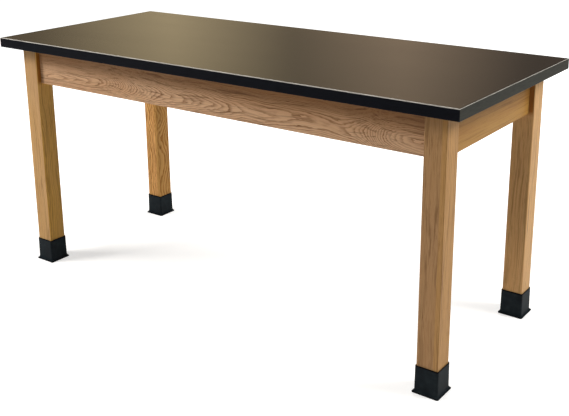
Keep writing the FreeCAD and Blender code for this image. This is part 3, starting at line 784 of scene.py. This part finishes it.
def shoe_profile(height, flare):
    """Offset from the leg's face and height, once round the wall: rim, cove, wall, top and inside.

    The cove is the arc that leaves the wall upright and has gone out by the flare at the rim's height.
    """
    wall = SHOE_GAP + SHOE_WALL
    rim = wall + flare
    cove_top = RIM_HEIGHT + COVE_HEIGHT
    cove_radius = (flare**2 + COVE_HEIGHT**2) / (2 * flare)
    sweep = math.degrees(math.asin(COVE_HEIGHT / cove_radius))
    share = np.linspace(0, 1, 14)[1:-1]
    rise = np.stack([wall - SHOE_TAPER * share, cove_top + (height - cove_top) * share], axis=-1)
    lip = (wall - SHOE_TAPER - SHOE_GAP) / 2
    return np.concatenate(
        [
            [(SHOE_GAP, 0.0), ((SHOE_GAP + rim) / 2, 0.0)],
            arc((rim - RIM_ROUND, RIM_ROUND), RIM_ROUND, -90, 0, 5),
            arc((wall + cove_radius, cove_top), cove_radius, 180 + sweep, 180, 12),
            rise[rise[:, 1] < height - lip],
            arc((SHOE_GAP + lip, height - lip), lip, 0, 180, 9),
            [(SHOE_GAP, height * part) for part in INSIDE_ROWS],
        ]
    )


print("the shoe's foot is rolled to a radius of", round(RIM_ROUND / MM, 1), "mm")

# %% [markdown]
# The walls of a real shoe draw in slightly between their corners, as rubber does when it cools, and the
# corners of the rim stand out. Carrying the profile round a rounded square gives all of that in one
# formula. One side and one corner are enough: quarter turns repeat them.

# %% Leg shoes
WALL_DRAWN_IN = 0.35 * MM
INNER_WALL = 0.5 * MM
CORNER_ROUNDS = (2.8 * MM, 4.5 * MM, 4.0 * MM)


def shoe_surface(low, high, leg_size):
    """Each profile point carried round the leg on a rounded square, half as wide as the leg plus the offset.

    The corners' radius goes from inside to wall to rim. Sides bend inwards by a squared cosine between
    their corners, most at mid height, and nowhere at the rim.
    """
    height = high.z - low.z
    flare = (high.x - low.x - leg_size) / 2 - SHOE_GAP - SHOE_WALL
    profile = shoe_profile(height, flare)
    offset, z = profile[:, 0], profile[:, 1]
    bend = np.linspace(0, np.pi / 2, 7)
    run = np.linspace(-1, 1, 17)[1:-1]
    turn = np.arange(4) * np.pi / 2
    angle = np.concatenate([np.zeros(len(run)), bend])
    angle = (angle[None, :] + turn[:, None]).ravel()
    slide = np.tile(np.concatenate([run, np.ones(len(bend))]), 4)
    side = np.repeat(turn, len(run) + len(bend))
    wall = SHOE_GAP + SHOE_WALL
    corner_round = np.interp(offset, [SHOE_GAP, wall, wall + flare], CORNER_ROUNDS)
    half = leg_size / 2 + offset - corner_round
    belly = np.sin(np.pi * np.clip(z / height, 0, 1)) * (offset > SHOE_GAP + INNER_WALL)
    drawn = WALL_DRAWN_IN * belly[:, None] * np.cos(slide * np.pi / 2)[None, :] ** 2
    along = half[:, None] * slide[None, :]
    flat = half[:, None] - drawn
    x = flat * np.cos(side) - along * np.sin(side) + corner_round[:, None] * np.cos(angle)
    y = flat * np.sin(side) + along * np.cos(side) + corner_round[:, None] * np.sin(angle)
    middle = (low + high) / 2
    heights = low.z + np.broadcast_to(z[:, None], x.shape)
    return np.stack([middle.x + x, middle.y + y, heights], axis=-1)


for corner in CORNERS:
    leg_low, leg_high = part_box("leg_" + corner)
    node = "leg_shoe_" + corner
    shoe = shoe_surface(*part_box(node), leg_high.x - leg_low.x)[None]
    body = "shoe_" + corner
    make_piece("rubber_shoe_" + corner, shoe, rubber, body, node, closed=True, crease=60)

# %% [markdown]
# A thread is a helix: the radius at each angle and height depends only on how far the point is along
# one turn of the pitch. So a threaded stem is still a grid of height and angle, with a radius worked out
# from both. The same grid carries a hexagon, whose radius follows its flats, with the corners cut by
# a cone as on real nuts. Boolean cuts along a helix would be slow and would leave ragged faces.

# %% Threads and hexagons
AROUND = 48
FLANK = 2.5
angles = np.linspace(0, 2 * np.pi, AROUND, endpoint=False)


def thread_radius(z, radius, pitch, depth):
    """Radius of a V thread: it falls and rises by its depth once a pitch, and climbs with the angle."""
    turn = (z[:, None] / pitch - angles[None, :] / (2 * np.pi)) % 1
    return radius - depth * np.clip(FLANK / 2 - FLANK * np.abs(turn - 0.5), 0, 1)


def coned_hexagon(across_flats, height, cone):
    """Radius and height of a hexagon: half its width over the cosine to the nearest flat, cut by cones."""
    to_flat = angles % (np.pi / 3) - np.pi / 6
    flats = across_flats / 2 / np.cos(to_flat)
    limits = np.array([flats.min(), flats.max(), flats.max(), flats.min()])
    radius = np.minimum(flats[None, :], limits[:, None])
    return radius, np.array([0, cone, height - cone, height])


def carried(radius, z):
    """Points round the Z axis from a radius for each height and angle."""
    heights = np.broadcast_to(z[:, None], radius.shape)
    return np.stack([radius * np.cos(angles), radius * np.sin(angles), heights], axis=-1)


print("threads and hexagons have", AROUND, "points around")

# %% [markdown]
# A leveller's stem has a plain tip that stands in the pad, a hexagon for the spanner and a thread that runs
# up into the leg. On the real one they are turned from one bar, so one grid holds all three, and
# no seam shows between them.

# %% Leveller stems
STEM_RADIUS = 5 * MM
STEM_PITCH = 1.5 * MM
STEM_THREAD = 0.8 * MM
ROWS_A_TURN = 8
HEXAGON_WIDTH = 17 * MM
HEXAGON_HEIGHT = 6 * MM
HEXAGON_CONE = 1.1 * MM
TIP_LENGTH = 6 * MM
TIP_RADIUS = 4 * MM
EDGE = 0.6 * MM


def stem_surface(low, high):
    """Tip, hexagon with coned corners and threaded stem, one above the other."""
    length = high.z - low.z
    tip = np.array([TIP_RADIUS - EDGE, TIP_RADIUS, TIP_RADIUS])[:, None] + np.zeros(AROUND)
    hexagon, hexagon_z = coned_hexagon(HEXAGON_WIDTH, HEXAGON_HEIGHT, HEXAGON_CONE)
    z = np.arange(TIP_LENGTH + HEXAGON_HEIGHT, length - EDGE, STEM_PITCH / ROWS_A_TURN)
    thread = thread_radius(z, STEM_RADIUS, STEM_PITCH, STEM_THREAD)
    end = np.full((1, AROUND), STEM_RADIUS - 2 * EDGE)
    radius = np.concatenate([tip, hexagon, thread, end])
    heights = np.concatenate([[0.0, EDGE, TIP_LENGTH], TIP_LENGTH + hexagon_z, z, [length]])
    middle = (low + high) / 2
    return carried(radius, heights) + np.array([middle.x, middle.y, low.z])


for corner in CORNERS:
    node = "leveller_stem_" + corner
    stem = stem_surface(*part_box(node))[None]
    make_piece("threaded_stem_" + corner, stem, zinc, "stem_" + corner, node)

# %% [markdown]
# The legs are held by pairs of hanger bolts, which stand across each corner at 45 degrees. Their places
# could be typed in, but they are measured on the solids instead, so that they stay right if the part
# changes: the points of the solids near one corner are laid along that corner's diagonal.

# %% Where the hanger bolts stand
NEAR_CORNER = 0.3


def inward_of(corner):
    """The way in from a corner of the table: 1 or -1 along X, and along Y."""
    return np.array([1.0 if "left" in corner else -1.0, 1.0 if "front" in corner else -1.0, 0.0])


def diagonal(corner, height):
    """The inward diagonal of a corner, one long, and its leg's outer corner at a height."""
    inward = inward_of(corner)
    leg_low, leg_high = (np.array(point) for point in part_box("leg_" + corner))
    outer = np.where(inward > 0, leg_low, leg_high)
    return inward / math.sqrt(2), np.array([outer[0], outer[1], height])


def reach_along(node, way, start):
    """The nearest and furthest reach along a diagonal of those solids of a node that lie near its start."""
    flat = np.empty(len(nodes[node].data.vertices) * 3, np.float32)
    nodes[node].data.vertices.foreach_get("co", flat)
    along = (flat.reshape(-1, 3).astype(float) - start) @ way
    along = along[along < NEAR_CORNER]
    return along.min(), along.max()


bolts_low, bolts_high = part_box("hanger_bolts")
bolts_height = (bolts_low.z + bolts_high.z) / 2
way, outer = diagonal(CORNERS[0], bolts_height)
bolt_start, bolt_end = reach_along("hanger_bolts", way, outer)
nut_start, _ = reach_along("hanger_nuts", way, outer)
print("bolts run from", round(bolt_start / MM, 1), "to", round(bolt_end / MM, 1), "mm on the diagonal")

# %% [markdown]
# A hanger bolt has a coarse wood thread at one end, in the leg, and a fine thread with a nut at the other.
# One bolt and one nut are worked out along Z. Instances could repeat them, but the export wants plain
# meshes, so each copy is turned onto its corner's diagonal with a rotation matrix. A bolt needs only
# half as many points around as a nut, so every second one is left out.

# %% Hanger bolts and nuts
BOLT_RADIUS = 4 * MM
BOLT_SPACING = 44 * MM
BOLT_IN_LEG = 42 * MM
BOLT_POINT = 0.4 * MM
POINT_LENGTH = 1.5 * MM
WOOD_THREAD = {"pitch": 3 * MM, "depth": 1.1 * MM}
FINE_THREAD = {"pitch": 1.25 * MM, "depth": 0.6 * MM}
NUT_WIDTH = 13 * MM
NUT_HEIGHT = 6.5 * MM
NUT_CONE = 0.9 * MM
BORE_GAP = 0.1 * MM


def turned_to(grid, direction, place):
    """The grid with its Z axis turned to a direction and moved to a place."""
    z = np.array(direction, float)
    x = np.array([-z[1], z[0], 0.0]) if abs(z[2]) < 0.9 else np.array([1.0, 0.0, 0.0])
    axes = np.stack([x, np.cross(z, x), z])
    return grid @ axes + np.array(place)


bolt_length = bolt_end - bolt_start
wood_z = np.arange(POINT_LENGTH, BOLT_IN_LEG, 0.5 * MM)
fine_z = np.arange(BOLT_IN_LEG, bolt_length - EDGE, 0.25 * MM)
point = np.full((1, AROUND), BOLT_POINT)
wood_thread = thread_radius(wood_z, BOLT_RADIUS, **WOOD_THREAD)
fine_thread = thread_radius(fine_z, BOLT_RADIUS, **FINE_THREAD)
end = np.full((1, AROUND), BOLT_RADIUS - 2 * EDGE)
bolt_z = np.concatenate([[0.0], wood_z, fine_z, [bolt_length]])
bolt_grid = carried(np.concatenate([point, wood_thread, fine_thread, end]), bolt_z)[:, ::2]

nut_outside, nut_z = coned_hexagon(NUT_WIDTH, NUT_HEIGHT, NUT_CONE)
bore = np.full((2, AROUND), BOLT_RADIUS + BORE_GAP)
nut_z = np.concatenate([nut_z, [NUT_HEIGHT, 0]])
nut_grid = carried(np.concatenate([nut_outside, bore]), nut_z)

bolts = []
nuts = []
for corner in CORNERS:
    way, outer = diagonal(corner, bolts_height)
    for step in (-BOLT_SPACING / 2, BOLT_SPACING / 2):
        level = outer + np.array([0, 0, step])
        bolts.append(turned_to(bolt_grid, way, level + way * bolt_start))
        nuts.append(turned_to(nut_grid, way, level + way * nut_start))
make_piece("threaded_hanger_bolts", np.array(bolts), zinc, "frame", "hanger_bolts")
make_piece("hexagon_nuts", np.array(nuts), zinc, "frame", "hanger_nuts", closed=True)

# %% [markdown]
# Wood screws hold the brackets and the clips. The head is a low dome with a cross-shaped recess: the
# recess is a depth taken off the dome, deep where a point lies near either arm of the cross and near the
# middle. A Boolean cut would make a sharper cross, at many more faces on each of 32 screws. Under the
# head the shank carries a coarse thread to its point. Again one grid holds all of it.

# %% Wood screws
HEAD_RADIUS = 4.2 * MM
HEAD_HEIGHT = 2.6 * MM
HEAD_WALL = 0.45
SHANK_RADIUS = 2.1 * MM
SHANK_START = 0.4 * MM
SCREW_THREAD = {"pitch": 2 * MM, "depth": 0.6 * MM}
SCREW_POINT = 0.3 * MM
SCREW_POINT_LENGTH = 2 * MM
ARM_WIDTH = 0.55 * MM
ARM_SLOPE = 0.25 * MM
ARM_LENGTH = 2.3 * MM
ARM_RAMP = 0.9 * MM
RECESS_DEPTH = 1.7 * MM


def screw_surface(length):
    """A screw that stands on its head's seat at height 0: the head is above and the point below.

    The dome is an ellipse on a low wall. The recess is its depth times how far a point is inside an arm
    times how far it is from the arm's end, each from 0 to 1.
    """
    share = np.linspace(0.02, 1, 22)
    dome_radius = np.repeat((HEAD_RADIUS * share)[:, None], AROUND, axis=1)
    dome = HEAD_HEIGHT * (HEAD_WALL + (1 - HEAD_WALL) * np.sqrt(np.clip(1 - share**2, 0, 1)))
    arm = np.minimum(np.abs(np.sin(angles)), np.abs(np.cos(angles)))[None, :] * dome_radius
    in_arm = np.clip((ARM_WIDTH - arm) / ARM_SLOPE + 0.5, 0, 1)
    reach = np.clip((ARM_LENGTH - dome_radius) / ARM_RAMP, 0, 1)
    dome_z = dome[:, None] - RECESS_DEPTH * in_arm * reach
    rim_radius = np.array([HEAD_RADIUS, SHANK_RADIUS])[:, None] + np.zeros(AROUND)
    rim_z = np.zeros((2, AROUND))
    z = -np.arange(SHANK_START, length - SCREW_POINT_LENGTH, SCREW_THREAD["pitch"] / 6)
    shank = thread_radius(z, SHANK_RADIUS, **SCREW_THREAD)
    shank_z = np.repeat(z[:, None], AROUND, axis=1)
    tip = np.full((1, AROUND), SCREW_POINT)
    tip_z = np.full((1, AROUND), -length)
    radius = np.concatenate([dome_radius, rim_radius, shank, tip])
    heights = np.concatenate([dome_z, rim_z, shank_z, tip_z])
    return np.stack([radius * np.cos(angles), radius * np.sin(angles), heights], axis=-1)[::-1]


short_screw = screw_surface(16.5 * MM)
long_screw = screw_surface(25.3 * MM)
print("a short screw has", len(short_screw), "rows and a long one", len(long_screw))

# %% [markdown]
# Each bracket is screwed to its two aprons through its wings, with two screws in each wing, one above
# the other. As with the bolts, the places come from the solids' boxes: a screw's seat is the apron's
# inner face plus the bracket's sheet.

# %% Bracket screws
SCREW_SPACING = 48 * MM
WING = 40 * MM
SHEET = 2.5 * MM

bracket_screws = []
for corner in CORNERS:
    low, high = (np.array(point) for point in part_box("corner_bracket_" + corner))
    inward = inward_of(corner)
    long_side, end_side = corner.split("_")
    end_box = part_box(end_side + "_end_apron")
    long_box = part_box(long_side + "_apron")
    apron_faces = np.array([end_box[int(inward[0] > 0)].x, long_box[int(inward[1] > 0)].y, 0])
    along = np.where(inward > 0, high, low) - inward * (SHEET + WING / 2)
    seat = apron_faces + inward * SHEET
    for z in ((low[2] + high[2] - SCREW_SPACING) / 2, (low[2] + high[2] + SCREW_SPACING) / 2):
        bracket_screws.append(turned_to(short_screw, (0, inward[1], 0), (along[0], seat[1], z)))
        bracket_screws.append(turned_to(short_screw, (inward[0], 0, 0), (seat[0], along[1], z)))
screws = np.array(bracket_screws)
make_piece("cross_head_bracket_screws", screws, zinc, "frame", "bracket_screws")

# %% [markdown]
# Eight angle clips hold the worktop on the aprons: three behind each long apron and one behind each end
# apron. A clip has a short screw into the apron and a long one up into the worktop. Both are the same
# formula with another length, turned to where they are driven from.

# %% Clip screws
CLIP_HOLE = 18 * MM
CLIP_SPACING = 420 * MM
UP = np.array([0, 0, 1.0])
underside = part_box("underside_backer")[0].z
front_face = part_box("front_apron")[1].y
right_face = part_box("right_end_apron")[0].x
steps = (-CLIP_SPACING, 0, CLIP_SPACING)
clips = [(x, front_face, (0, 1.0, 0)) for x in steps]
clips += [(x, -front_face, (0, -1.0, 0)) for x in steps]
clips += [(-right_face, 0, (1.0, 0, 0)), (right_face, 0, (-1.0, 0, 0))]
side_screws = []
top_screws = []
for x, y, way in clips:
    way = np.array(way)
    fold = np.array([x, y, underside])
    side_screws.append(turned_to(short_screw, way, fold + way * SHEET - UP * CLIP_HOLE))
    top_screws.append(turned_to(long_screw, -UP, fold + way * CLIP_HOLE - UP * SHEET))
for name, screws in (("cross_head_clip_screws", side_screws), ("cross_head_top_screws", top_screws)):
    make_piece(name, np.array(screws), zinc, "frame", "top_clip_screws")

# %% [markdown]
# The floor is a plain pale sheet. Seen by the camera and in reflections it adds a little of its own light,
# so it comes out white away from the table, and the soft shadow under the table stays. Bounced
# light doesn't see that, so the floor lights the wood no more than a pale floor would. More lamps would
# whiten it too, but they would also wash out the wood.

# %% Floor
FLOOR_HALF = 40.0
NEAR_TABLE = 0.9
AWAY_FROM_TABLE = 3.0
floor_mesh = bpy.data.meshes.new("floor")
span = FLOOR_HALF * np.array([(-1, -1, 0), (1, -1, 0), (1, 1, 0), (-1, 1, 0)])
floor_mesh.from_pydata(span.tolist(), [], [(0, 1, 2, 3)])
floor = bpy.data.objects.new("floor", floor_mesh)
bpy.context.scene.collection.objects.link(floor)


def seen_directly(tree):
    """1 for rays from the camera, a mirror or glass, and 0 for light that bounces between surfaces."""
    camera_ray = add(tree, "LightPath", out="Is Camera Ray")
    mirrored = add(tree, "LightPath", out="Is Glossy Ray")
    through = add(tree, "LightPath", out="Is Transmission Ray")
    seen = add(tree, "Math", {0: camera_ray, 1: mirrored}, operation="MAXIMUM")
    return add(tree, "Math", {0: seen, 1: through}, operation="MAXIMUM")


paper, tree, place = start_material("pale_floor")
seen = seen_directly(tree)
away = add(tree, "VectorMath", {0: place}, out="Value", operation="LENGTH")
distances = {"From Min": NEAR_TABLE, "From Max": AWAY_FROM_TABLE}
own_level = add(tree, "MapRange", {"Value": away, **distances, "To Min": 0.5, "To Max": 1.0})
own_light = add(tree, "Math", {0: seen, 1: own_level}, operation="MULTIPLY")
matte = add(tree, "BsdfDiffuse", {"Color": linear("#dcdad6")})
glow = add(tree, "Emission", {"Strength": own_light})
add(tree, "OutputMaterial", {0: add(tree, "AddShader", {0: matte, 1: glow})})
floor_mesh.materials.append(paper)
print("floor:", 2 * FLOOR_HALF, "m wide")

# %% [markdown]
# A black satin worktop looks like whatever it reflects. In the picture that is a dim room with a warm wall,
# lighter in some places than in others. A painted sheen would stay put when the view moves, so a tall ring
# of card round the table stands for that wall: only reflections see it, so it lights nothing and hides
# nothing. Its colour changes with the direction, with the same sequence on the two halves, so that the
# worktop looks alike from the front and from behind.

# %% Reflected wall
WALL_RADIUS = 6.0
WALL_HEIGHT = 9.0
WALL_PANELS = 96
around = np.linspace(0, 2 * np.pi, WALL_PANELS, endpoint=False)
circle = np.stack([WALL_RADIUS * np.cos(around), WALL_RADIUS * np.sin(around), 0 * around], axis=-1)
wall_points = np.concatenate([circle, circle + np.array([0, 0, WALL_HEIGHT])])
here = np.arange(WALL_PANELS)
after = (here + 1) % WALL_PANELS
wall_faces = np.stack([after, here, here + WALL_PANELS, after + WALL_PANELS], axis=-1)
wall_mesh = bpy.data.meshes.new("reflected_wall")
wall_mesh.from_pydata(wall_points.tolist(), [], wall_faces.tolist())
wall = bpy.data.objects.new("reflected_wall", wall_mesh)
bpy.context.scene.collection.objects.link(wall)
for kind in ("camera", "diffuse", "transmission", "volume_scatter", "shadow"):
    setattr(wall, "visible_" + kind, False)
print("wall:", len(wall_mesh.polygons), "panels")

# %% [markdown]
# The wall's colours are given by their direction, in degrees to the left of the view along +Y: dim, with
# two lighter stretches. A radial gradient gives each point's direction as a share of a turn. It counts
# from -X, so +Y is at three quarters. Two runs of the colours in one turn make the halves alike, and
# each run starts 60 degrees before +Y, where the wall is dim.

# %% Wall colours
DIM_WALL = "#62554a"
WALL_TONES = [
    (14, DIM_WALL),
    (25, "#c9ae90"),
    (35, "#8c7c64"),
    (46, "#efd7a8"),
    (58, "#83735a"),
    (90, DIM_WALL),
]
RUNS = 2
RUN_DEGREES = 180
RUN_START = -60
AHEAD = 0.75
warm_wall, tree, place = start_material("warm_wall")
turned = add(tree, "TexGradient", {"Vector": place}, out=1, gradient_type="RADIAL")
runs = add(tree, "Math", {0: turned, 1: RUNS}, operation="MULTIPLY")
offset = -RUNS * AHEAD - RUN_START / RUN_DEGREES
shifted = add(tree, "Math", {0: runs, 1: offset}, operation="ADD")
along_run = add(tree, "Math", {0: shifted, 1: 1.0}, operation="FLOORED_MODULO")
stops = [((angle - RUN_START) / RUN_DEGREES, tone) for angle, tone in WALL_TONES]
tone = add(tree, "ValToRGB", {0: along_run}, stops=stops)
glow = add(tree, "Emission", {"Color": tone, "Strength": 1.0})
add(tree, "OutputMaterial", {0: glow})
wall_mesh.materials.append(warm_wall)
print(warm_wall.name, "has", len(stops), "tones in each run")

# %% [markdown]
# The light is plain and soft: a lamp high in front of the left end, which falls off along the front as
# in the picture, a softer one at the right end, one overhead and a weaker one behind. One sky could light
# everything, but then each side of a leg would be as bright as the next. Only the overhead lamp shows in
# reflections, so the satin worktop shows the wall, and no bright squares.

# %% Lamps
def lamp(name, place, target, size, watts, in_reflections=True):
    """A square soft lamp at a place, aimed at a target; the satin worktop can be kept from showing it."""
    data = bpy.data.lights.new(name, "AREA")
    data.shape = "SQUARE"
    data.size = size
    data.energy = watts
    thing = bpy.data.objects.new(name, data)
    thing.location = place
    thing.rotation_euler = (Vector(target) - Vector(place)).to_track_quat("-Z", "Y").to_euler()
    thing.visible_glossy = in_reflections
    bpy.context.scene.collection.objects.link(thing)
    print(name, watts, "W")


lamp("front_left_lamp", (-2.6, -2.1, 2.5), (-0.5, 0, 0.4), size=1.2, watts=118, in_reflections=False)
lamp("right_lamp", (3.0, 1.05, 2.8), (0.6, 0, 0.4), size=1.3, watts=100, in_reflections=False)
lamp("overhead_lamp", (0, 0, 3.4), (0, 0, 0), size=2.6, watts=60)
lamp("back_lamp", (-0.9, 3.0, 3.0), (0, 0, 0.4), size=1.4, watts=60, in_reflections=False)

# %% [markdown]
# The sky is white where the camera or a reflection meets it, and a low even grey for everything else. So
# the background is as white as paper, without its light flooding the table.

# %% Sky
WHITE = (1, 1, 1, 1)
DIM_SKY = 0.09
world = bpy.data.worlds.new("studio")
world.use_nodes = True
world.node_tree.nodes.clear()
tree = world.node_tree
seen = seen_directly(tree)
dim = add(tree, "Background", {"Color": WHITE, "Strength": DIM_SKY})
white = add(tree, "Background", {"Color": WHITE, "Strength": 1.0})
add(tree, "OutputWorld", {0: add(tree, "MixShader", {0: seen, 1: dim, 2: white})})
bpy.context.scene.world = world
print("sky:", DIM_SKY, "for bounced light, 1 where it is seen")

# %% [markdown]
# Colours are shown as they are written, without a film curve.

# %% Colours as written
bpy.context.scene.view_settings.view_transform = "Standard"
